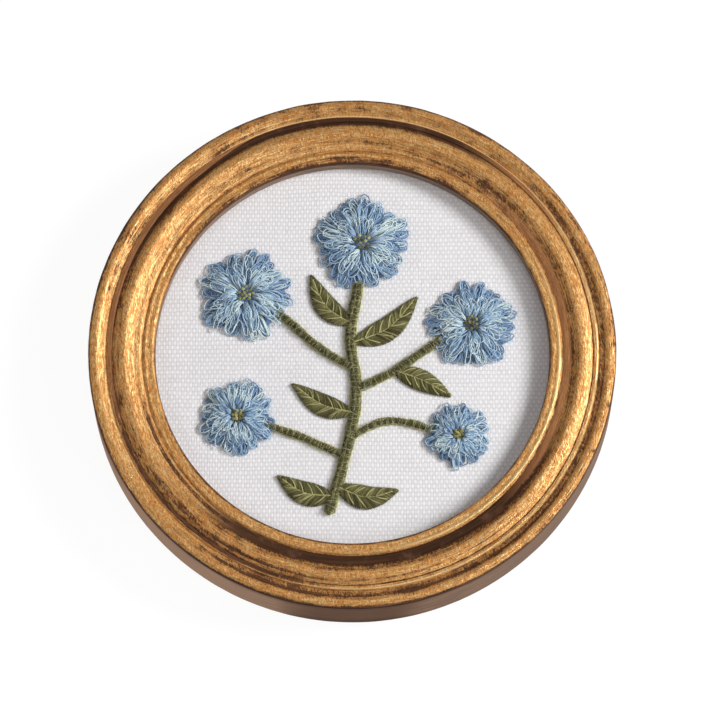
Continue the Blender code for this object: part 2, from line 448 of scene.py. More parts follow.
# ================================================================ materials
def gilt():
    """Rubbed gilt over dark brown: dabs of bright metal in a warm paint, worn to bare base coat in bands."""
    n = Nodes("antique_gilt")
    at, x, y, z = n.place()
    polar = n.ring(x, y, z)
    _, cx, cy = polar
    across = n.times(n.math("SUBTRACT", FRAME_R, polar[0]), 1 / MOULDING_W)

    def sector(middle, half, soft=24.0):
        """One inside this stretch of the ring, fading out past it."""
        m = math.radians(middle)
        along = n.plus(n.times(cx, math.cos(m)), n.times(cy, math.sin(m)))
        return n.between(
            along, math.cos(math.radians(min(half + soft, 178))), math.cos(math.radians(half - soft / 2))
        )

    def off(noise, size):
        return n.times(n.plus(noise, -0.5), size)

    # Dabs are long across the brush's sweep: turned 12 degrees from +Y.
    t = math.radians(12.0)
    sweep = n.vector(
        n.plus(n.times(x, math.cos(t)), n.times(y, math.sin(t))),
        n.times(n.plus(n.times(x, -math.sin(t)), n.times(y, math.cos(t))), 0.36),
        z,
    )
    hatch = n.noise(sweep, 3.1, 3.0, 0.62, distortion=0.25)
    scratch = n.ring_noise(polar, z, 2.4, 0.12, 2.0, 0.6, seed=31.0)
    dabs = n.noise(sweep, 3.4, 2.0, 0.60, w=4.0)
    coarse = n.noise(sweep, 0.95, 2.0, 0.55, distortion=0.4)
    grain = n.noise(at, 3.6, 3.0, 0.66)
    blotch = n.noise(at, 0.30, 3.0, 0.55)
    streak = n.ring_noise(polar, z, 3.6, 0.20, 3.0, 0.62)
    long_streak = n.ring_noise(polar, z, 15.0, 0.30, 3.0, 0.6, seed=7.0)
    turned = n.ring_noise(polar, z, 26.0, 0.12, 2.0, 0.6, seed=13.0)

    # Wear: more in the hollows, almost none on the crest and lip.
    wander = n.plus(across, off(n.ring_noise(polar, z, 9.0, 4.0), 0.03))
    wear = n.curve(
        wander,
        (
            (0.000, 1.00),
            (0.008, 0.92),
            (0.024, 0.48),
            (0.042, 0.20),
            (0.060, 0.12),
            (0.120, 0.14),
            (0.165, 0.20),
            (0.225, 0.24),
            (0.255, 0.22),
            (0.270, 0.06),
            (0.280, 0.00),
            (0.292, 0.12),
            (0.330, 0.20),
            (0.343, 0.50),
            (0.352, 0.52),
            (0.366, 0.20),
            (0.400, 0.12),
            (0.480, 0.10),
            (0.540, 0.14),
            (0.600, 0.24),
            (0.680, 0.24),
            (0.735, 0.18),
            (0.775, 0.18),
            (0.798, 0.44),
            (0.808, 0.46),
            (0.820, 0.10),
            (0.870, 0.08),
            (0.940, 0.10),
            (0.975, 0.20),
            (0.990, 0.50),
            (1.000, 0.90),
        ),
    )
    patches = n.plus(off(n.ring_noise(polar, z, 11.0, 1.6, 3.0, 0.6, seed=21.0), 2.2), 0.5)

    def local(stops, place_on_ring, amount, patchy=False):
        patch = n.times(n.curve(wander, stops), place_on_ring)
        if patchy:
            patch = n.times(patch, patches)
        return n.times(patch, amount)

    leftish, up_left = sector(192.0, 56.0), sector(147.0, 32.0, 18.0)
    worn = wear
    for patch in (
        local(
            (
                (0.150, 0.0), (0.178, 1.0), (0.262, 1.0), (0.278, 0.0),
                (0.795, 0.0), (0.806, 0.4), (0.818, 0.4), (0.834, 0.0),
            ),
            sector(322.0, 76.0),
            0.46,
        ),
        local(
            (
                (0.026, 0.0), (0.045, 1.1), (0.080, 1.1), (0.095, 0.0),
                (0.550, 0.0), (0.590, 1.0), (0.675, 1.0), (0.705, 0.0),
                (0.812, 0.0), (0.822, 0.5), (0.835, 0.3), (0.860, 0.0),
            ),
            sector(0.0, 46.0),
            0.30,
        ),
        local(((0.282, 0.0), (0.294, 1.0), (0.400, 1.0), (0.470, 0.8), (0.530, 0.0)), leftish, 0.14),
        local(((0.282, 0.0), (0.294, 1.0), (0.400, 1.0), (0.470, 0.8), (0.530, 0.0)), leftish, 0.50, True),
        local(((0.120, 0.0), (0.150, 1.0), (0.185, 1.0), (0.210, 0.0)), sector(276.0, 34.0), 0.60, True),
        local(
            (
                (0.080, 0.0), (0.100, 0.2), (0.165, 0.2), (0.180, 0.0), (0.285, 0.0), (0.300, 0.22), (0.345, 0.22),
                (0.362, 0.05), (0.395, 0.10), (0.420, 0.50), (0.440, 0.28), (0.465, 0.16), (0.530, 0.16),
                (0.585, 0.36), (0.640, 0.36), (0.660, 0.16), (0.680, 0.0),
            ),
            sector(271.0, 42.0),
            1.0,
        ),
        local(((0.400, 1.0), (0.440, 0.5), (0.520, 0.0)), sector(108.0, 50.0), 0.50, True),
        local(((0.600, 0.0), (0.650, 1.0), (0.710, 1.0), (0.745, 0.0)), sector(88.0, 34.0), 0.44, True),
        local(((0.690, 0.0), (0.720, 1.0), (0.760, 1.0), (0.790, 0.2)), sector(46.0, 16.0), 0.46),
        local(
            (
                (0.278, 0.0), (0.290, 0.50), (0.325, 0.50), (0.345, 0.0),
                (0.690, 0.0), (0.720, 0.64), (0.755, 0.64), (0.778, 0.0),
            ),
            sector(224.0, 20.0),
            1.0,
        ),
        local(((0.865, 0.0), (0.905, 0.9), (1.000, 1.0)), sector(98.0, 42.0), 0.90, True),
        local(((0.950, 0.0), (0.972, 1.0), (1.000, 1.0)), sector(250.0, 38.0), 0.56),
    ):
        worn = n.plus(worn, patch)
    smooth = n.times(n.curve(across, ((0.150, 0.0), (0.190, -0.5), (0.350, -0.5), (0.360, 0.0))), up_left)
    worn = n.plus(worn, smooth)
    breaks = n.plus(
        n.plus(off(streak, 0.70), off(hatch, 1.60)),
        n.plus(off(blotch, 0.95), off(long_streak, 0.85)),
    )
    dark = n.between(n.plus(worn, breaks), 0.36, 0.80)

    # Warm paint, with bright metal dabbed over it.
    warm = n.mix_colour(n.between(dabs, 0.36, 0.62), (0.43, 0.160, 0.034), (0.69, 0.300, 0.076))
    warm = n.mix_colour(n.times(n.between(long_streak, 0.46, 0.72), 0.6), warm, (0.50, 0.195, 0.044))
    flakes_and_highlight = n.plus(n.plus(off(hatch, 1.0), off(grain, 0.5)), n.plus(off(scratch, 1.0), 0.5))
    flakes_and_highlight = n.between(flakes_and_highlight, 0.40, 0.80)
    # Brighter, more metallic gilt along the crest and the lip, only on the lower right where the key light catches
    # them: painted highlight.
    crest = n.times(n.curve(across, ((0.272, 0.0), (0.279, 1.0), (0.296, 1.0), (0.304, 0.0))), sector(332.0, 66.0))
    lip_highlight = n.times(n.curve(across, ((0.838, 0.0), (0.848, 1.0), (0.872, 1.0), (0.888, 0.0))), sector(330.0, 40.0))
    flakes_and_highlight = n.math("MAXIMUM", flakes_and_highlight, n.math("MAXIMUM", n.times(crest, 0.85), n.times(lip_highlight, 0.9)))
    warm = n.mix_colour(flakes_and_highlight, warm, (1.0, 0.73, 0.33))
    metal = n.plus(0.26, n.times(flakes_and_highlight, 0.60))

    # Thin lines left by turning, light and dark.
    lined = n.curve(
        across,
        ((0.225, 0.1), (0.250, 1.0), (0.345, 1.0), (0.365, 0.2), (0.680, 0.2), (0.710, 1.0), (0.745, 0.4), (0.775, 1.0), (0.825, 1.0), (0.845, 0.2)),
    )
    warm = n.mix_colour(n.times(n.times(n.between(turned, 0.56, 0.66), lined), 0.75), warm, (0.22, 0.085, 0.034))
    warm = n.mix_colour(n.times(n.times(n.between(turned, 0.44, 0.34), lined), 0.60), warm, (1.0, 0.74, 0.40))

    brown = n.mix_colour(n.between(streak, 0.35, 0.7), (0.050, 0.020, 0.010), (0.190, 0.080, 0.035))
    colour = n.mix_colour(dark, warm, brown)
    metal = n.times(metal, n.math("SUBTRACT", 1.0, dark))

    # Tiny specks of red-brown and of black.
    red = n.between(n.noise(at, 2.6, 2.0, 0.7, w=1.0), 0.665, 0.715)
    black = n.between(n.noise(at, 2.9, 2.0, 0.7, w=9.0), 0.685, 0.730)
    colour = n.mix_colour(n.times(red, 0.85), colour, (0.150, 0.040, 0.018))
    colour = n.mix_colour(n.times(black, 0.90), colour, (0.018, 0.010, 0.007))

    # Bare base coat: one edge follows a turned line, the other is ragged.
    # Towards the upper left the upper band moves in, off the fillet and on to the bead.
    leftward = n.between(n.times(cx, -1.0), 0.34, 0.66)
    moved = n.plus(across, n.times(leftward, -0.085))
    ragged = n.plus(across, n.plus(off(hatch, 0.085), n.plus(off(streak, 0.045), off(blotch, 0.06))))
    top_ragged = n.plus(ragged, n.times(leftward, -0.018))
    top = n.times(n.between(moved, 0.266, 0.276), n.math("SUBTRACT", 1.0, n.between(top_ragged, 0.382, 0.438)))
    top = n.times(top, sector(106.0, 46.0, 14.0))
    low = n.times(n.between(ragged, 0.605, 0.645), n.math("SUBTRACT", 1.0, n.between(across, 0.800, 0.806)))
    low = n.times(low, sector(282.0, 48.0, 14.0))
    coat = n.math("MAXIMUM", top, low)
    base = n.mix_colour(n.between(long_streak, 0.35, 0.65), (0.040, 0.017, 0.008), (0.086, 0.036, 0.016))
    base = n.mix_colour(n.between(blotch, 0.52, 0.70), base, (0.120, 0.054, 0.028))
    fillet = n.curve(across, ((0.279, 0.0), (0.284, 1.0), (0.350, 1.0), (0.356, 0.0)))
    fillet = n.times(fillet, sector(112.0, 74.0, 18.0))
    thin = n.mix_colour(n.between(streak, 0.36, 0.64), (0.24, 0.098, 0.038), (0.40, 0.175, 0.072))
    colour = n.mix_colour(n.times(fillet, 0.82), colour, thin)
    colour = n.mix_colour(coat, colour, base)
    # A thin bright line along the foot of the crest on the upper half, in plain colour with no metal: a painted
    # highlight.
    highlight_across = n.plus(across, n.times(n.between(cy, 0.78, 0.98), 0.020))
    line = n.curve(highlight_across, ((0.262, 0.0), (0.269, 1.0), (0.276, 1.0), (0.283, 0.0)))
    line = n.times(n.times(line, n.between(cy, 0.35, 0.60)), n.between(long_streak, 0.30, 0.50, 0.35, 0.85))
    colour = n.mix_colour(line, colour, (1.0, 0.66, 0.30))
    right = n.times(n.between(ragged, 0.676, 0.696), n.math("SUBTRACT", 1.0, n.between(across, 0.796, 0.802)))
    right = n.times(right, sector(3.0, 36.0, 16.0))
    thin = n.mix_colour(n.between(wander, 0.710, 0.745), (0.46, 0.200, 0.082), (0.38, 0.155, 0.060))
    thin = n.mix_colour(n.between(across, 0.762, 0.780), thin, (0.66, 0.300, 0.125))
    drag = n.between(streak, 0.42, 0.62)
    thin = n.mix_colour(n.times(drag, 0.45), thin, (0.190, 0.076, 0.032))
    colour = n.mix_colour(n.times(right, n.mix(drag, 0.72, 0.94)), colour, thin)
    bare = n.math("MAXIMUM", coat, n.times(right, 0.9))
    metal = n.times(metal, n.math("SUBTRACT", 1.0, bare))

    roughness = n.plus(n.mix(dark, 0.35, 0.58), off(grain, 0.16))
    roughness = n.mix(bare, roughness, 0.52)
    relief = n.plus(
        n.plus(n.times(hatch, 1.0), n.times(grain, 0.55)),
        n.plus(n.plus(n.times(streak, 0.30), n.times(scratch, 0.30)), n.times(coarse, 0.9)),
    )
    relief = n.plus(relief, n.times(dark, -0.20))
    relief = n.times(relief, n.math("SUBTRACT", 1.0, n.times(bare, 0.75)))
    normal = n.bump(relief, 1.0, 0.105)
    return n.principled(
        colour, roughness, metal, normal, Specular_IOR_Level=0.16
    )


def side_brown():
    """The outer wall: a thin brown wash over dark wood, with a dark band under the arris that is partly painted
    shade, and painted light and shade on its left, right and front.
    """
    n = Nodes("side_wash")
    at, x, y, z = n.place()
    polar = n.ring(x, y, z)
    _, cx, cy = polar
    streak = n.ring_noise(polar, z, 9.0, 0.8, 3.0, 0.6)
    fine = n.ring_noise(polar, z, 1.6, 0.22, 2.0, 0.6, seed=3.0)
    blotch = n.noise(at, 0.10, 2.0, 0.5)
    low = n.mix_colour(n.between(streak, 0.30, 0.72), (0.250, 0.145, 0.092), (0.370, 0.230, 0.150))
    low = n.mix_colour(n.times(n.between(blotch, 0.44, 0.62), 0.5), low, (0.190, 0.108, 0.068))
    # The wash is painted lighter on the left, away from the key light, and darker on the right, where the key falls,
    # and on the front: painted light and painted shade. The front is darker still towards its foot.
    away = n.times(cx, -1.0)
    low = n.mix_colour(n.times(n.between(away, 0.08, 0.60), 0.60), low, (0.520, 0.320, 0.210))
    low = n.mix_colour(n.times(n.between(cx, 0.15, 0.70), 0.72), low, (0.150, 0.098, 0.072))
    front = n.between(n.times(cy, -1.0), 0.955, 0.996)
    low = n.mix_colour(n.times(front, 0.85), low, (0.125, 0.060, 0.032))
    foot = n.times(front, n.between(n.times(z, -1.0), -5.0, -1.5))
    low = n.mix_colour(n.times(foot, 0.55), low, (0.060, 0.028, 0.016))
    left = n.times(n.between(away, 0.80, 0.97), n.between(z, 4.0, 10.5))
    low = n.mix_colour(n.times(left, 0.60), low, (0.180, 0.078, 0.038))
    low = n.mix_colour(n.times(n.between(fine, 0.56, 0.78), 0.30), low, (0.42, 0.22, 0.11))
    # The dark band and the near-black rim under the arris are weaker on the right, where the key light falls: partly
    # the wall's own band, partly painted shade.
    wavy = n.plus(z, n.times(n.plus(streak, -0.5), 0.9))
    shaded = n.math("SUBTRACT", 1.0, n.between(cx, 0.10, 0.70))
    band = n.times(n.times(n.between(wavy, ARRIS_Z - 2.9, ARRIS_Z - 1.6), 0.45), shaded)
    low = n.mix_colour(band, low, (0.120, 0.050, 0.026))
    rim = n.times(n.between(wavy, ARRIS_Z - 1.3, ARRIS_Z - 0.7), n.mix(shaded, 0.45, 1.0))
    low = n.mix_colour(rim, low, (0.032, 0.013, 0.008))
    colour = n.mix_colour(n.between(z, ARRIS_Z - 0.26, ARRIS_Z - 0.10), low, (0.030, 0.014, 0.009))
    relief = n.plus(n.times(streak, 0.5), n.times(fine, 0.5))
    normal = n.bump(relief, 0.5, 0.08)
    roughness = n.plus(0.72, n.times(fine, 0.16))
    return n.principled(colour, roughness, 0.0, normal, Specular_IOR_Level=0.08)


def inner_brown():
    """The wall under the sight edge and the rebate."""
    n = Nodes("inner_wash")
    at, x, y, z = n.place()
    polar = n.ring(x, y, z)
    streak = n.ring_noise(polar, z, 6.0, 0.5, 3.0, 0.6)
    grain = n.noise(at, 2.0, 3.0, 0.6)
    colour = n.mix_colour(n.between(streak, 0.30, 0.70), (0.210, 0.130, 0.085), (0.360, 0.235, 0.160))
    colour = n.mix_colour(n.times(n.between(grain, 0.50, 0.72), 0.4), colour, (0.110, 0.064, 0.040))
    colour = n.mix_colour(n.between(z, ARRIS_Z - 1.95, ARRIS_Z - 1.55), colour, (0.040, 0.022, 0.015))
    normal = n.bump(n.plus(streak, n.times(grain, 0.6)), 0.3, 0.06)
    return n.principled(colour, n.plus(0.55, n.times(grain, 0.15)), 0.1, normal)


def back_wood():
    """The flat back of the ring: stained wood with its straight grain."""
    n = Nodes("back_wood")
    at, x, y, z = n.place()
    waved = n.noise(n.stretched(at, 0.018, 0.10, 0.10), 1.0, 3.0, 0.5)
    rings = n.math("SINE", n.plus(n.times(y, 1.15), n.times(waved, 22.0)))
    pores = n.noise(n.stretched(at, 0.35, 4.5, 4.5), 1.0, 3.0, 0.6)
    tone = n.plus(n.times(rings, 0.18), n.plus(0.32, n.times(pores, 0.45)))
    colour = n.ramp(
        tone,
        ((0.15, (0.045, 0.022, 0.012)), (0.50, (0.105, 0.055, 0.030)), (0.85, (0.19, 0.11, 0.062))),
    )
    normal = n.bump(n.plus(pores, n.times(rings, 0.15)), 0.4, 0.07)
    return n.principled(colour, n.plus(0.60, n.times(pores, 0.2)), 0.0, normal)


def board():
    """Fibreboard: matted short fibres in browns."""
    n = Nodes("fibreboard")
    at, x, y, z = n.place()
    fibres = n.noise(n.stretched(at, 2.2, 0.45, 2.0), 1.0, 4.0, 0.65, distortion=1.2)
    flecks = n.noise(n.stretched(at, 0.5, 2.6, 2.0), 1.0, 3.0, 0.6, distortion=0.8)
    clouds = n.noise(at, 0.06, 2.0, 0.5)
    tone = n.plus(n.times(fibres, 0.5), n.plus(n.times(flecks, 0.35), n.times(clouds, 0.25)))
    colour = n.ramp(
        tone,
        ((0.32, (0.13, 0.080, 0.045)), (0.55, (0.27, 0.18, 0.105)), (0.78, (0.42, 0.30, 0.19))),
    )
    normal = n.bump(tone, 0.5, 0.10)
    return n.principled(colour, n.plus(0.78, n.times(flecks, 0.15)), 0.0, normal)


def canvas():
    """Plain weave: warp threads along Y at WARP pitch, weft threads along X at WEFT pitch."""
    n = Nodes("canvas")
    at, x, y, z = n.place()
    drift = n.noise(n.stretched(at, 0.05, 0.05, 0.05), 1.0, 2.0, 0.5)
    drift_y = n.noise(n.stretched(at, 0.045, 0.06, 0.05), 1.3, 2.0, 0.5)
    warp_x = n.plus(n.times(x, 1 / WARP), n.times(drift, 1.6))
    weft_y = n.plus(n.times(y, 1 / WEFT), n.times(drift_y, 1.1))
    # Threads wander a little and swell along their length.
    warp_x = n.plus(warp_x, n.times(n.plus(n.noise(n.stretched(at, 1.2, 0.35, 1.0), 1.0, 1.0), -0.5), 0.42))
    weft_y = n.plus(weft_y, n.times(n.plus(n.noise(n.stretched(at, 0.30, 0.9, 1.0), 1.0, 1.0), -0.5), 0.36))
    i, j = n.math("FLOOR", warp_x), n.math("FLOOR", weft_y)
    fx, fy = n.math("SUBTRACT", warp_x, i), n.math("SUBTRACT", weft_y, j)

    def round_thread(f):
        off = n.plus(n.times(f, 2.0), -1.0)
        return n.math("SQRT", n.math("MAXIMUM", n.math("SUBTRACT", 1.0, n.times(off, off)), 0.0))

    # A warp thread rides over and shows as a bead; the weft lies lower between them.
    warp_up = n.math("SINE", n.times(n.plus(weft_y, i), math.pi))
    weft_up = n.times(n.math("SINE", n.times(n.plus(warp_x, j), math.pi)), -1.0)
    warp_h = n.plus(n.times(round_thread(fx), 0.42), n.times(warp_up, 0.58))
    weft_h = n.plus(n.plus(n.times(round_thread(fy), 0.30), n.times(weft_up, 0.30)), -0.12)
    top = n.add("ShaderNodeMath", operation="SMOOTH_MAX")
    n.feed(top.inputs[0], warp_h)
    n.feed(top.inputs[1], weft_h)
    top.inputs[2].default_value = 0.15
    weave = top.outputs[0]

    fibres = n.noise(n.stretched(at, 9.0, 3.0, 5.0), 1.0, 3.0, 0.65)
    slub_warp = n.noise(n.vector(i, n.times(y, 0.16), 0.0), 1.0, 2.0, 0.6)
    slub_weft = n.noise(n.vector(n.times(x, 0.12), j, 4.0), 1.0, 2.0, 0.6)
    slub = n.plus(slub_warp, slub_weft)
    # The raised parts of the weave are painted lighter and the gaps between threads and rows darker: painted shade
    # between the threads. Slubs and fibres vary the tone.
    lit = n.between(weave, 0.05, 0.90)
    shade = n.plus(
        n.plus(n.plus(0.792, n.times(round_thread(fy), 0.080)), n.times(lit, 0.205)),
        n.plus(n.times(n.plus(slub, -1.0), 0.16), n.times(n.plus(fibres, -0.5), 0.12)),
    )
    clouds = n.noise(at, 0.035, 2.0, 0.5)
    tint = n.mix_colour(n.between(clouds, 0.35, 0.65), (0.905, 0.899, 0.927), (0.922, 0.917, 0.938))
    grey = n.add("ShaderNodeCombineColor")
    for socket in grey.inputs:
        n.feed(socket, shade)
    colour = n.mix_colour(1.0, tint, grey.outputs[0], blend="MULTIPLY")
    relief = n.plus(weave, n.plus(n.times(fibres, 0.22), n.times(slub, 0.15)))
    normal = n.bump(relief, 1.0, 0.105)
    return n.principled(colour, 0.92, 0.0, normal, Sheen_Weight=0.15, Sheen_Roughness=0.5, Specular_IOR_Level=0.25)


def yarn(name, tones, pale, fibre_scale=5.0):
    """Wool: a strand's tone picks its colour, with fibres and a soft bloom."""
    n = Nodes(name)
    at, x, y, z = n.place()
    cloud = n.noise(at, 0.9, 2.0, 0.6)
    fibres = n.noise(at, fibre_scale, 3.0, 0.7, distortion=0.6)
    tone = n.plus(n.attribute("tone"), n.times(n.plus(cloud, -0.5), 0.45))
    tone = n.plus(tone, n.times(n.plus(fibres, -0.5), 0.40))
    colour = n.mix_colour(n.attribute("pale"), n.ramp(tone, tones), pale)
    shade = n.plus(0.72, n.times(fibres, 0.56))
    grey = n.add("ShaderNodeCombineColor")
    for socket in grey.inputs:
        n.feed(socket, shade)
    colour = n.mix_colour(1.0, colour, grey.outputs[0], blend="MULTIPLY")
    normal = n.bump(fibres, 0.5, 0.06)
    return n.principled(colour, 0.88, 0.0, normal, Sheen_Weight=0.35, Sheen_Roughness=0.4, Specular_IOR_Level=0.25)


def floor_white():
    n = Nodes("floor")
    at, x, y, z = n.place()
    speck = n.noise(at, 0.02, 3.0, 0.5)
    colour = n.mix_colour(speck, (0.105, 0.105, 0.105), (0.120, 0.120, 0.120))
    return n.principled(colour, 0.9, Emission_Color=(1, 1, 1, 1), Emission_Strength=0.93, Specular_IOR_Level=0.1)


# ================================================================ the frame ring
def moulding_profile():
    """(radius, z, part) round the whole section: 0 front, 1 outer wall, 2 inner wall, 3 back."""
    rows = [(FRAME_R - MOULDING_W * a, ARRIS_Z + rise, corner) for a, rise, corner in MOULDING]
    section, part = [], []
    run = [rows[0][:2]]
    for r, z, corner in rows[1:]:
        run.append((r, z))
        if corner:
            line = smooth_line(run, 0.20)
            section.extend(line[:-1].tolist())
            part.extend([0] * (len(line) - 1))
            run = [(r, z)]

    def straight(a, b, steps, which):
        for k in range(steps):
            t = k / steps
            section.append([a[0] + (b[0] - a[0]) * t, a[1] + (b[1] - a[1]) * t])
            part.append(which)

    sight = rows[-1][:2]
    # The sight edge is eased, and so is the outer arris.
    straight(sight, (sight[0], sight[1] - 0.12), 1, 2)
    straight((sight[0], sight[1] - 0.12), (sight[0], REBATE_Z), 5, 2)
    straight((sight[0], REBATE_Z), (REBATE_R, REBATE_Z), 2, 2)
    straight((REBATE_R, REBATE_Z), (REBATE_R, 0.0), 2, 2)
    straight((REBATE_R, 0.0), (FRAME_R, 0.0), 3, 3)
    straight((FRAME_R, 0.0), (SKIRT_R, SKIRT_Z), 1, 3)
    straight((SKIRT_R, SKIRT_Z), (FRAME_R, ARRIS_Z), 16, 1)
    return np.array(section), np.array(part)


def make_frame():
    section, part = moulding_profile()
    count, segments = len(section), 600
    ahead, behind = np.roll(section, -1, axis=0), np.roll(section, 1, axis=0)
    run = ahead - behind
    run /= np.linalg.norm(run, axis=1, keepdims=True)
    # The section runs from the outer arris inwards, so its outward side is to its right.
    out = np.stack([run[:, 1], -run[:, 0]], axis=1)
    rng = np.random.default_rng(11)
    cell = TAU * 50 / segments
    broad = soft_field(rng, (count, segments), (9.0, 10.0 / cell))
    dents = soft_field(rng, (count, segments), (3.0, 2.2 / cell))
    grains = soft_field(rng, (count, segments), (1.1, 0.55 / cell))
    amount = np.array([1.0, 0.55, 0.35, 0.0])[part][:, None]
    move = amount * (0.035 * broad + 0.016 * dents + 0.010 * grains)
    angle = np.arange(segments) / segments * TAU
    radius = section[:, 0:1] + out[:, 0:1] * move
    height = section[:, 1:2] + out[:, 1:2] * move
    points = np.stack(
        [radius * np.cos(angle), radius * np.sin(angle), np.broadcast_to(height, radius.shape)],
        axis=-1,
    )
    index = np.arange(count * segments).reshape(count, segments)
    right, down = np.roll(index, -1, axis=1), np.roll(index, -1, axis=0)
    both = np.roll(down, -1, axis=1)
    quads = np.stack([index, down, both, right], axis=-1).reshape(-1, 4)
    slots = np.repeat(part, segments)
    b = Builder()
    b.add(points.reshape(-1, 3), quads, slot=slots)
    return b.build("moulded_frame", [gilt(), side_brown(), inner_brown(), back_wood()], sharp_deg=50)


# ================================================================ the canvas
def make_canvas(material):
    """A thin round sheet, drawn down a little under the stitching and uneven between."""
    rings, under_rings, segments = 92, 6, 240
    radius = CANVAS_R * np.linspace(0, 1, rings + 1)[1:] ** 0.95
    angle = np.arange(segments) / segments * TAU
    x = radius[:, None] * np.cos(angle)
    y = radius[:, None] * np.sin(angle)
    rng = np.random.default_rng(5)
    phases = rng.uniform(0, TAU, (12, 2))
    waves = rng.uniform(-0.16, 0.16, (12, 2))
    drop = np.zeros_like(x)
    for (px, py), (wx, wy) in zip(phases, waves):
        drop += 0.016 * np.sin(wx * x + px) * np.sin(wy * y + py)

    def pull(distance, width, depth):
        return -depth * np.exp(-((distance / width) ** 2))

    for _, cx, cy, r, _, _ in FLOWERS:
        away = np.hypot(x - cx, y - cy) - 0.82 * r
        drop += pull(np.maximum(away, 0.0), 2.4, 0.10)
    for _, width, points in STEMS:
        line = smooth_line(points, 1.5)
        away = np.min(np.hypot(x[..., None] - line[:, 0], y[..., None] - line[:, 1]), axis=-1)
        drop += pull(away, 1.8, 0.07)
    # Under the lip the sheet lies flat.
    drop *= np.clip((43.0 - radius) / 6.0, 0.0, 1.0)[:, None]
    top = CANVAS_TOP - 0.02 + np.minimum(drop, 0.015)
    b = Builder()
    index = np.arange(rings * segments).reshape(rings, segments)
    right = np.roll(index, -1, axis=1)
    quads = np.stack([index[:-1], index[1:], right[1:], right[:-1]], axis=-1).reshape(-1, 4)
    count = rings * segments
    centre_z = float(top[0].mean())
    under_radius = CANVAS_R * np.arange(1, under_rings + 1)[:, None] / under_rings
    under = np.stack(
        [
            under_radius * np.cos(angle),
            under_radius * np.sin(angle),
            np.full((under_rings, segments), CANVAS_TOP - CANVAS_T),
        ],
        -1,
    ).reshape(-1, 3)
    points = np.concatenate(
        [
            np.stack([x, y, top], -1).reshape(-1, 3),
            under,
            [[0, 0, centre_z], [0, 0, CANVAS_TOP - CANVAS_T]],
        ]
    )
    low = count + np.arange(under_rings * segments).reshape(under_rings, segments)
    low_right = np.roll(low, -1, axis=1)
    low_quads = np.stack([low[:-1], low_right[:-1], low_right[1:], low[1:]], axis=-1).reshape(-1, 4)
    rim = np.stack([index[-1], low[-1], low_right[-1], right[-1]], axis=-1)
    middle, low_middle = len(points) - 2, len(points) - 1
    fan = np.stack([np.full(segments, middle), index[0], right[0]], axis=-1)
    low_fan = np.stack([np.full(segments, low_middle), low_right[0], low[0]], axis=-1)
    b.add(points, np.concatenate([quads, low_quads, rim]), np.concatenate([fan, low_fan]))
    return b.build("canvas_sheet", [material], sharp_deg=60)


# ================================================================ stitching
def outline(angle, turn):
    return 1 - PETAL_DEPTH * (1 - np.abs(np.cos(PETALS * (angle - turn) / 2)) ** 0.7)


def loop_paths(rng, cx, cy, azimuth, reach, start, half, bend, tip, middle, points=24):
    """Long narrow loops laid out from a flower's middle. Each value is one number per loop."""
    t = np.linspace(0, 1, points)[None, :]
    out = 1 - np.abs(2 * t - 1) ** 2.3
    many = len(azimuth)

    def col(values):
        return np.asarray(values, float)[:, None]

    phase = rng.uniform(0, TAU, (4, many, 1))
    freq = rng.uniform(1.2, 3.4, (4, many, 1))
    along = col(start) + (col(reach) - col(start)) * out
    aside = col(half) * np.cos(math.pi * t) * (0.30 + 0.70 * out**1.2) + col(bend) * out**2
    aside = aside + 0.11 * np.sin(TAU * freq[0] * t + phase[0]) + 0.04 * np.sin(
        TAU * 3.1 * freq[1] * t + phase[1]
    )
    along = along + 0.09 * np.sin(TAU * freq[2] * t + phase[2]) * out
    rise = 0.25 + col(tip) * out + (col(middle) - col(tip) / 2) * 4 * out * (1 - out)
    z = CANVAS_TOP + rise + 0.06 * np.sin(TAU * freq[3] * t + phase[3])
    c, s = np.cos(col(azimuth)), np.sin(col(azimuth))
    return np.stack([cx + along * c - aside * s, cy + along * s + aside * c, z], axis=-1)


def hairs(rng, roots, outward, length, root_r=0.028, points=4):
    """Short fine fibres that curl away from their roots."""
    many = len(roots)
    t = np.linspace(0, 1, points)[None, :, None]
    long = rng.uniform(*length, (many, 1, 1))
    way = outward[:, None, :] + rng.normal(0, 0.55, (many, 1, 3))
    way /= np.linalg.norm(way, axis=2, keepdims=True)
    curl = rng.normal(0, 0.5, (many, 1, 3))
    paths = roots[:, None, :] + long * (way * t + curl * t**2 * 0.6)
    paths[..., 2] = np.maximum(paths[..., 2], CANVAS_TOP + 0.04)
    radii = root_r * (1 - 0.65 * np.linspace(0, 1, points))[None, :]
    return paths, np.broadcast_to(radii, (many, points))


def pile_bed(b, cx, cy, radius, height, turn):
    """A low lobed bed under the loops, so that no canvas shows between them."""
    segments, rows = 60, ((0.80, -0.02), (0.78, 0.08), (0.70, 0.24), (0.55, 0.34), (0.28, 0.40), (0.10, 0.46))
    angle = np.arange(segments) / segments * TAU
    points = []
    for out, up in rows:
        reach = radius * out * outline(angle, turn)
        z = np.full(segments, CANVAS_TOP + up * height)
        points.append(np.stack([cx + reach * np.cos(angle), cy + reach * np.sin(angle), z], -1))
    points = np.concatenate([*points, [[cx, cy, CANVAS_TOP + 0.46 * height]], [[cx, cy, CANVAS_TOP - 0.02]]])
    index = np.arange(len(rows) * segments).reshape(len(rows), segments)
    right = np.roll(index, -1, axis=1)
    quads = np.stack([index[:-1], right[:-1], right[1:], index[1:]], axis=-1).reshape(-1, 4)
    top, bottom = len(rows) * segments, len(rows) * segments + 1
    tris = np.concatenate(
        [
            np.stack([index[-1], right[-1], np.full(segments, top)], -1),
            np.stack([right[0], index[0], np.full(segments, bottom)], -1),
        ]
    )
    b.add(points, quads, tris, tone=0.0)


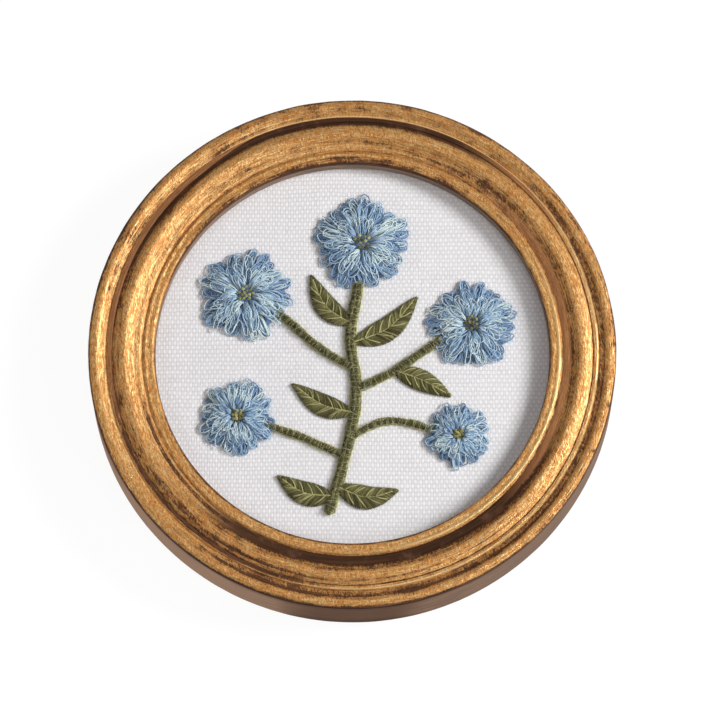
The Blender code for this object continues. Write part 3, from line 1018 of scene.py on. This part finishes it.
def make_flower(seed, name, cx, cy, radius, height, turn_deg, materials):
    rng = np.random.default_rng(seed)
    b = Builder()
    turn = math.radians(turn_deg)
    size = radius / 10.0
    pile_bed(b, cx, cy, radius, height, turn)

    rows = []
    # bundles per petal, loops nested in each, reach, start, half width, tip and middle height, tones
    layers = (
        (4, 4, (0.90, 0.98), 0.22, 1.60, 0.02, 0.28, (0.00, 0.22), 0.0),
        (4, 5, (0.92, 1.01), 0.22, 1.80, 0.08, 0.42, (0.30, 0.70), 0.34),
        (3, 4, (0.66, 0.80), 0.18, 1.55, 0.34, 0.58, (0.10, 0.35), 0.0),
        (3, 5, (0.66, 0.82), 0.18, 1.65, 0.44, 0.68, (0.35, 0.80), 0.30),
        (2, 4, (0.42, 0.54), 0.12, 1.15, 0.66, 0.80, (0.35, 0.90), 0.30),
    )
    for bundles, nested, (near, far), start, widest, tip, middle, tones, pale_share in layers:
        bundles = max(2, int(round(bundles * size**0.5)))
        for petal in range(PETALS):
            heart = turn + petal * TAU / PETALS
            for k in range(bundles):
                aim = heart + (k - (bundles - 1) / 2) * (TAU / PETALS) / bundles
                aim += rng.normal(0, 0.05)
                edge = radius * float(outline(np.array(aim), turn))
                reach = edge * rng.uniform(near, far)
                bend = rng.normal(0, 0.7) * size
                tone = rng.uniform(*tones)
                pale_bundle = rng.random() < pale_share
                for i in range(nested):
                    share = (i + 0.55) / nested
                    pale = rng.random() < (0.60 if pale_bundle else 0.30 * pale_share)
                    rows.append(
                        (
                            aim + rng.normal(0, 0.014),
                            reach - (nested - 1 - i) * 0.42 + rng.normal(0, 0.10),
                            radius * start * rng.uniform(0.75, 1.3),
                            widest * size**0.5 * share * rng.uniform(0.9, 1.1),
                            bend + rng.normal(0, 0.15),
                            height * tip + rng.normal(0, 0.06),
                            height * middle * (1.04 - 0.10 * share) + rng.normal(0, 0.05),
                            tone + rng.normal(0, 0.14),
                            1.0 if pale else 0.0,
                            rng.uniform(0.110, 0.135) if pale else rng.uniform(0.120, 0.150),
                            0.0 if pale_share else 1.0,
                        )
                    )
    # Single pale strands wander over the top in wider loops.
    for _ in range(int(34 * size)):
        aim = turn + rng.uniform(0, TAU)
        edge = radius * float(outline(np.array(aim), turn))
        share = rng.uniform(0.45, 0.98)
        drop = 1.0 - share
        rows.append(
            (
                aim,
                edge * share,
                radius * rng.uniform(0.15, 0.45) * share,
                rng.uniform(0.5, 1.9),
                rng.normal(0, 1.1),
                height * (0.14 + 1.15 * drop),
                height * (0.50 + 0.55 * drop),
                rng.uniform(0.6, 1.0),
                rng.uniform(0.55, 1.0),
                rng.uniform(0.095, 0.120),
                0.0,
            )
        )
    azimuth, reach, start, half, bend, tip, middle, tone, pale, thick, under = np.array(rows).T
    tip, middle = np.minimum(tip, height - 0.42), np.minimum(middle, height - 0.40)
    paths = loop_paths(rng, cx, cy, azimuth, reach, start, half, bend, tip, middle)
    pale_now = pale * rng.uniform(0.7, 1.0, len(pale))
    for sides, which in ((4, under > 0.5), (5, under < 0.5)):
        b.tubes(paths[which], thick[which], sides=sides, tone=tone[which], pale=pale_now[which])

    # Fine fibres standing off the pile, most of them at its edge.
    many = int(560 * size)
    pick = rng.integers(0, len(paths), many)
    spot = rng.integers(5, 19, many)
    roots = paths[pick, spot]
    outward = np.stack([roots[:, 0] - cx, roots[:, 1] - cy, np.full(many, 1.5)], -1)
    outward /= np.linalg.norm(outward, axis=1, keepdims=True)
    fibre, thin = hairs(rng, roots, outward, (0.35, 1.10))
    b.tubes(fibre, thin, sides=3, tone=np.clip(tone[pick] + 0.25, 0, 1), pale=np.maximum(pale[pick], 0.45))

    # A cluster of small knots in the middle.
    knots = 13
    for k in range(knots):
        far = 0.16 * radius * math.sqrt((k + 0.35) / knots)
        spin = k * 2.39996 + turn
        kx, ky = cx + far * math.cos(spin), cy + far * math.sin(spin)
        a = np.linspace(0, 1.75 * TAU, 26) + rng.uniform(0, TAU)
        coil = 0.27 + 0.03 * np.sin(3 * a)
        z = CANVAS_TOP + height * 0.74 + 0.24 * np.linspace(0, 1, 26) + rng.uniform(-0.08, 0.04)
        coil = coil * np.linspace(1.0, 0.45, 26)
        path = np.stack([kx + coil * np.cos(a), ky + coil * np.sin(a), z], -1)
        tone_here = rng.uniform(0.05, 0.95)
        b.tubes(path[None], np.full((1, 26), 0.135), sides=6, slot=1, tone=tone_here, pale=0.0)
    return b.build(name + "_loops", materials)


def plied(line, across, lift, pitch, spread, phase):
    """The two plies of a twisted yarn along a flat line, moved across and up."""
    run = np.gradient(line, axis=0)
    run /= np.linalg.norm(run, axis=1, keepdims=True)
    side = np.stack([-run[:, 1], run[:, 0]], axis=1)
    arc = np.r_[0, np.cumsum(np.linalg.norm(np.diff(line, axis=0), axis=1))]
    out = []
    for half in (0.0, math.pi):
        a = TAU * arc / pitch + phase + half
        flat = line + side * (across + spread * np.cos(a))[:, None]
        out.append(np.column_stack([flat, lift + spread * np.sin(a)]))
    return np.array(out)


def make_stem(seed, name, width, points, material, tall=1.25):
    rng = np.random.default_rng(seed)
    b = Builder()
    line = smooth_line(points, 0.30)
    arc = np.r_[0, np.cumsum(np.linalg.norm(np.diff(line, axis=0), axis=1))]
    long = arc[-1]
    ease = np.clip(np.minimum(arc, long - arc) / 0.9, 0.35, 1.0)

    def sway(low, high, size):
        return size * np.sin(TAU * arc / rng.uniform(low, high) + rng.uniform(0, TAU))

    # One light yarn down each edge, and darker ones packed between them.
    edge = width / 2 - 0.20
    inner = np.linspace(-edge + 0.36, edge - 0.36, max(3, int(round(width / 0.46)) - 1))
    rows = [(-edge, 0.22, True), (edge, 0.22, True)]
    rows += [(off, 0.30, False) for off in inner]
    rows += [(off, 0.66, False) for off in (inner[:-1] + inner[1:]) / 2]
    rows += [(off, 0.92, False) for off in inner[1:-1:2]]
    for off, base, light in rows:
        share = abs(off) / (width / 2)
        drift = sway(5, 9, 0.09) + sway(1.4, 2.4, 0.05)
        lift = CANVAS_TOP + base * (1 - 0.30 * share**2) + sway(2.0, 3.6, 0.07)
        tone = rng.uniform(0.80, 1.0) if light else rng.uniform(0.02, 0.30)
        if not light and rng.random() < 0.12:
            tone = rng.uniform(0.45, 0.75)
        thick = 0.115 if light else 0.135
        plies = plied(line, (off + drift) * ease, lift, rng.uniform(0.9, 1.3), 0.105, rng.uniform(0, TAU))
        second = min(1.0, tone + rng.uniform(0.0, 0.22))
        b.tubes(plies, np.broadcast_to(thick * ease, (2, len(line))), sides=4, tone=(tone, second))

    # Small stitches over the yarns hold them down. A few are in a paler thread.
    run = np.gradient(line, axis=0)
    run /= np.linalg.norm(run, axis=1, keepdims=True)
    side = np.stack([-run[:, 1], run[:, 0]], axis=1)
    u = np.linspace(-1, 1, 9)
    for step, reach, thick, tones, pale in (
        ((0.42, 0.80), (0.45, 0.85), 0.075, (0.05, 0.75), 0.0),
        ((1.15, 1.60), (0.90, 1.05), 0.042, (0.80, 1.00), 0.50),
    ):
        ties, shades, at = [], [], 0.6
        while at < long - 0.4:
            k = int(np.searchsorted(arc, at))
            slant, wide = rng.normal(0, 0.25), rng.uniform(*reach)
            shift = rng.uniform(-1, 1) * (1 - min(wide, 1.0)) * 0.9
            v = np.clip(u * wide + shift, -1.04, 1.04)
            flat = line[k] + np.outer(v * width / 2, side[k]) + np.outer(u * slant * width / 3, run[k])
            z = CANVAS_TOP + 0.04 + (tall - 0.06) * np.sqrt(np.maximum(1 - np.abs(v / 1.04) ** 2.6, 0.0))
            ties.append(np.column_stack([flat, z]))
            shades.append(rng.uniform(*tones))
            at += rng.uniform(*step)
        b.tubes(np.array(ties), np.full(len(ties), thick), sides=4, tone=np.array(shades), pale=pale)

    # Fibres off the wool.
    many = int(long * 8)
    k = rng.integers(0, len(line), many)
    hand = rng.choice((-1.0, 1.0), many)
    share = rng.uniform(0.1, 1.0, many) * hand
    flat = line[k] + side[k] * (share * width / 2)[:, None]
    roots = np.column_stack([flat, CANVAS_TOP + tall * np.sqrt(1 - 0.8 * share**2) - 0.15])
    outward = np.column_stack([side[k] * share[:, None], 0.5 * np.ones(many)])
    outward /= np.linalg.norm(outward, axis=1, keepdims=True)
    fibre, thin = hairs(rng, roots, outward, (0.25, 0.70), root_r=0.030)
    b.tubes(fibre, thin, sides=3, tone=rng.uniform(0.3, 1.0, many))
    return b.build(name + "_yarn", [material])


def make_leaf(seed, name, width, points, material, tall=1.0):
    rng = np.random.default_rng(seed)
    b = Builder()
    line = smooth_line(points, 0.12)
    arc = np.r_[0, np.cumsum(np.linalg.norm(np.diff(line, axis=0), axis=1))]
    long = arc[-1]
    run = np.gradient(line, axis=0)
    run /= np.linalg.norm(run, axis=1, keepdims=True)
    side = np.stack([-run[:, 1], run[:, 0]], axis=1)

    def half_at(t):
        return 0.10 + (width / 2 - 0.10) * np.sin(math.pi * np.clip(t, 0, 1) ** 0.8) ** 0.9

    def spot(distance):
        return np.array([np.interp(distance, arc, line[:, 0]), np.interp(distance, arc, line[:, 1])])

    # Satin stitches slant forward from the vein to the edge, on both sides.
    u = np.linspace(0, 1, 9)
    stitches, tones = [], []
    for hand in (-1.0, 1.0):
        at = 0.10
        while at < long - 0.35:
            reach_at = min(long, at + 0.34 * half_at(at / long) * 1.9 + 0.15)
            k = min(len(line) - 1, int(np.searchsorted(arc, reach_at)))
            edge = line[k] + hand * side[k] * half_at(reach_at / long)
            start = spot(at) + hand * side[min(len(side) - 1, int(np.searchsorted(arc, at)))] * 0.03
            flat = start[None] + (edge - start)[None] * u[:, None]
            flat = flat + rng.normal(0, 0.025, 2)
            crown = np.sin(math.pi * (0.22 + 0.74 * u)) ** 0.8
            z = CANVAS_TOP + 0.10 + (tall - 0.18) * crown * (0.55 + 0.45 * half_at(at / long) / (width / 2))
            stitches.append(np.column_stack([flat, z]))
            tones.append(np.clip(rng.normal(0.30 if hand > 0 else 0.18, 0.17), 0.0, 1.0))
            at += rng.uniform(0.26, 0.34)
    stitches = np.array(stitches)
    b.tubes(stitches, np.full(len(stitches), 0.185), sides=6, tone=np.array(tones))

    # A padded bed under them, and a stem-stitched vein between.
    bed_t = np.linspace(0.02, 0.98, 26)
    section = np.array([(-1, 0.0), (-0.9, 0.3), (-0.5, 0.62), (0, 0.5), (0.5, 0.62), (0.9, 0.3), (1, 0.0)])
    rings = []
    for t in bed_t:
        k = min(len(line) - 1, int(np.searchsorted(arc, t * long)))
        flat = line[k] + side[k] * (section[:, 0:1] * half_at(t) * 0.92)
        rings.append(np.column_stack([flat, CANVAS_TOP - 0.02 + section[:, 1] * tall * 0.8]))
    rings = np.array(rings)
    n, m = rings.shape[:2]
    index = np.arange(n * m).reshape(n, m)
    onward = np.roll(index, -1, axis=1)
    quads = np.stack([index[:-1], index[1:], onward[1:], onward[:-1]], axis=-1).reshape(-1, 4)
    caps = [[index[0, 0], index[0, k], index[0, k + 1]] for k in range(1, m - 1)]
    caps += [[index[-1, 0], index[-1, k + 1], index[-1, k]] for k in range(1, m - 1)]
    b.add(rings.reshape(-1, 3), quads, caps, tone=0.10)
    vein = smooth_line(points, 0.30)
    vein = vein[: max(4, int(len(vein) * 0.93))]
    lift = np.full(len(vein), CANVAS_TOP + tall * 0.72)
    b.tubes(plied(vein, np.zeros(len(vein)), lift, 1.1, 0.10, 0.0), np.full((2, len(vein)), 0.12), sides=5, tone=(0.85, 1.0))

    # Light ribs run out from the vein over the satin stitches.
    ribs = []
    for hand in (-1.0, 1.0):
        for share in (0.16, 0.32, 0.48, 0.64):
            at = long * (share + rng.uniform(-0.03, 0.03))
            reach_at = min(long * 0.97, at + long * 0.17)
            k = min(len(line) - 1, int(np.searchsorted(arc, reach_at)))
            tip = line[k] + hand * side[k] * half_at(reach_at / long) * 0.86
            v = np.linspace(0, 1, 12)
            bow = np.sin(math.pi * v)[:, None] * hand * side[k] * 0.25
            flat = spot(at)[None] + (tip - spot(at))[None] * v[:, None] + bow
            z = CANVAS_TOP + 0.16 + (tall - 0.06) * np.sin(math.pi * (0.26 + 0.66 * v)) ** 0.8
            ribs.append(np.column_stack([flat, z]))
    b.tubes(np.array(ribs), np.full(len(ribs), 0.115), sides=5, tone=rng.uniform(0.75, 1.0, len(ribs)))

    many = 70
    pick = rng.integers(0, len(stitches), many)
    roots = stitches[pick, -2]
    outward = np.column_stack([(stitches[pick, -1] - stitches[pick, 0])[:, :2], 0.6 * np.ones(many)])
    outward /= np.linalg.norm(outward, axis=1, keepdims=True)
    fibre, thin = hairs(rng, roots, outward, (0.2, 0.6), root_r=0.026)
    b.tubes(fibre, thin, sides=3, tone=rng.uniform(0.4, 1.0, many))
    return b.build(name + "_stitches", [material])


# ================================================================ camera, light, floor
def make_camera():
    data = bpy.data.cameras.new("camera")
    data.sensor_width = 36.0
    data.lens = PIXELS_PER_RADIUS * (VIEW_DISTANCE / FRAME_R) / PICTURE * 36.0
    data.clip_start, data.clip_end = 0.01, 20.0
    camera = bpy.data.objects.new("camera", data)
    s, c = math.sin(VIEW_TILT), math.cos(VIEW_TILT)
    right, up, back = np.array([1, 0, 0]), np.array([0, c, s]), np.array([0, -s, c])
    spot = np.array([0, 0, ARRIS_Z]) - VIEW_OFFSET[0] * right - VIEW_OFFSET[1] * up + VIEW_DISTANCE * back
    camera.location = tuple(spot * MM)
    camera.rotation_euler = (VIEW_TILT, 0.0, 0.0)
    bpy.context.scene.collection.objects.link(camera)
    bpy.context.scene.camera = camera


def area_light(name, azimuth, elevation, distance, size, watts, colour=(1, 1, 1), shape="DISK"):
    data = bpy.data.lights.new(name, "AREA")
    data.shape, data.size, data.energy, data.color = shape, size, watts, colour
    light = bpy.data.objects.new(name, data)
    a, e = math.radians(azimuth), math.radians(elevation)
    light.location = (
        distance * math.cos(e) * math.cos(a),
        distance * math.cos(e) * math.sin(a),
        distance * math.sin(e),
    )
    # A light shines along its -Z: tip it from straight down, then turn it.
    light.rotation_euler = (0.0, math.pi / 2 - e, a)
    bpy.context.scene.collection.objects.link(light)
    return light


def make_studio():
    area_light("key", KEY_AZIMUTH, KEY_ELEVATION, KEY_DISTANCE, 0.44, 12.7, (1.0, 0.995, 0.99))
    area_light("side", 318.0, 38.0, 1.3, 0.6, 3.6, (1.0, 0.99, 0.98))
    area_light("left_fill", 192.0, 48.0, 1.4, 0.8, 2.4, (1.0, 0.95, 0.92))
    area_light("overhead", 85.0, 74.0, 1.6, 1.0, 1.6, (1.0, 0.97, 0.95))
    world = bpy.data.worlds.new("studio")
    world.use_nodes = True
    background = world.node_tree.nodes["Background"]
    background.inputs["Color"].default_value = (1.0, 0.94, 0.91, 1.0)
    background.inputs["Strength"].default_value = 0.14
    bpy.context.scene.world = world
    bpy.context.scene.view_settings.view_transform = "Standard"

    mesh = bpy.data.meshes.new("floor")
    s = 3.0
    mesh.from_pydata([(-s, -s, 0), (s, -s, 0), (s, s, 0), (-s, s, 0)], [], [(0, 1, 2, 3)])
    mesh.materials.append(floor_white())
    floor = bpy.data.objects.new("floor", mesh)
    floor.location.z = -0.0002
    bpy.context.scene.collection.objects.link(floor)


# ================================================================ the scene
make_camera()
make_studio()

place(make_frame(), "antique_gilt", "frame")

sheet = place(make_canvas(canvas()), "canvas", "cloth")

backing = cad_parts["backing_board"]
backing.data.materials.clear()
backing.data.materials.append(board())

blue = yarn(
    "blue_yarn",
    (
        (0.00, (0.140, 0.235, 0.400)),
        (0.35, (0.250, 0.395, 0.590)),
        (0.70, (0.380, 0.545, 0.710)),
        (1.00, (0.520, 0.680, 0.800)),
    ),
    (0.720, 0.850, 0.850),
)
green = yarn(
    "green_yarn",
    (
        (0.00, (0.060, 0.054, 0.018)),
        (0.35, (0.170, 0.160, 0.060)),
        (0.70, (0.350, 0.335, 0.135)),
        (1.00, (0.560, 0.550, 0.250)),
    ),
    (0.66, 0.68, 0.46),
)
for order, row in enumerate(FLOWERS):
    place(make_flower(100 + order, *row, [blue, green]), "blue_yarn", row[0])
for order, row in enumerate(STEMS):
    place(make_stem(200 + order, *row, green), "green_yarn", row[0])
for order, row in enumerate(LEAVES):
    place(make_leaf(300 + order, *row, green), "green_yarn", row[0])
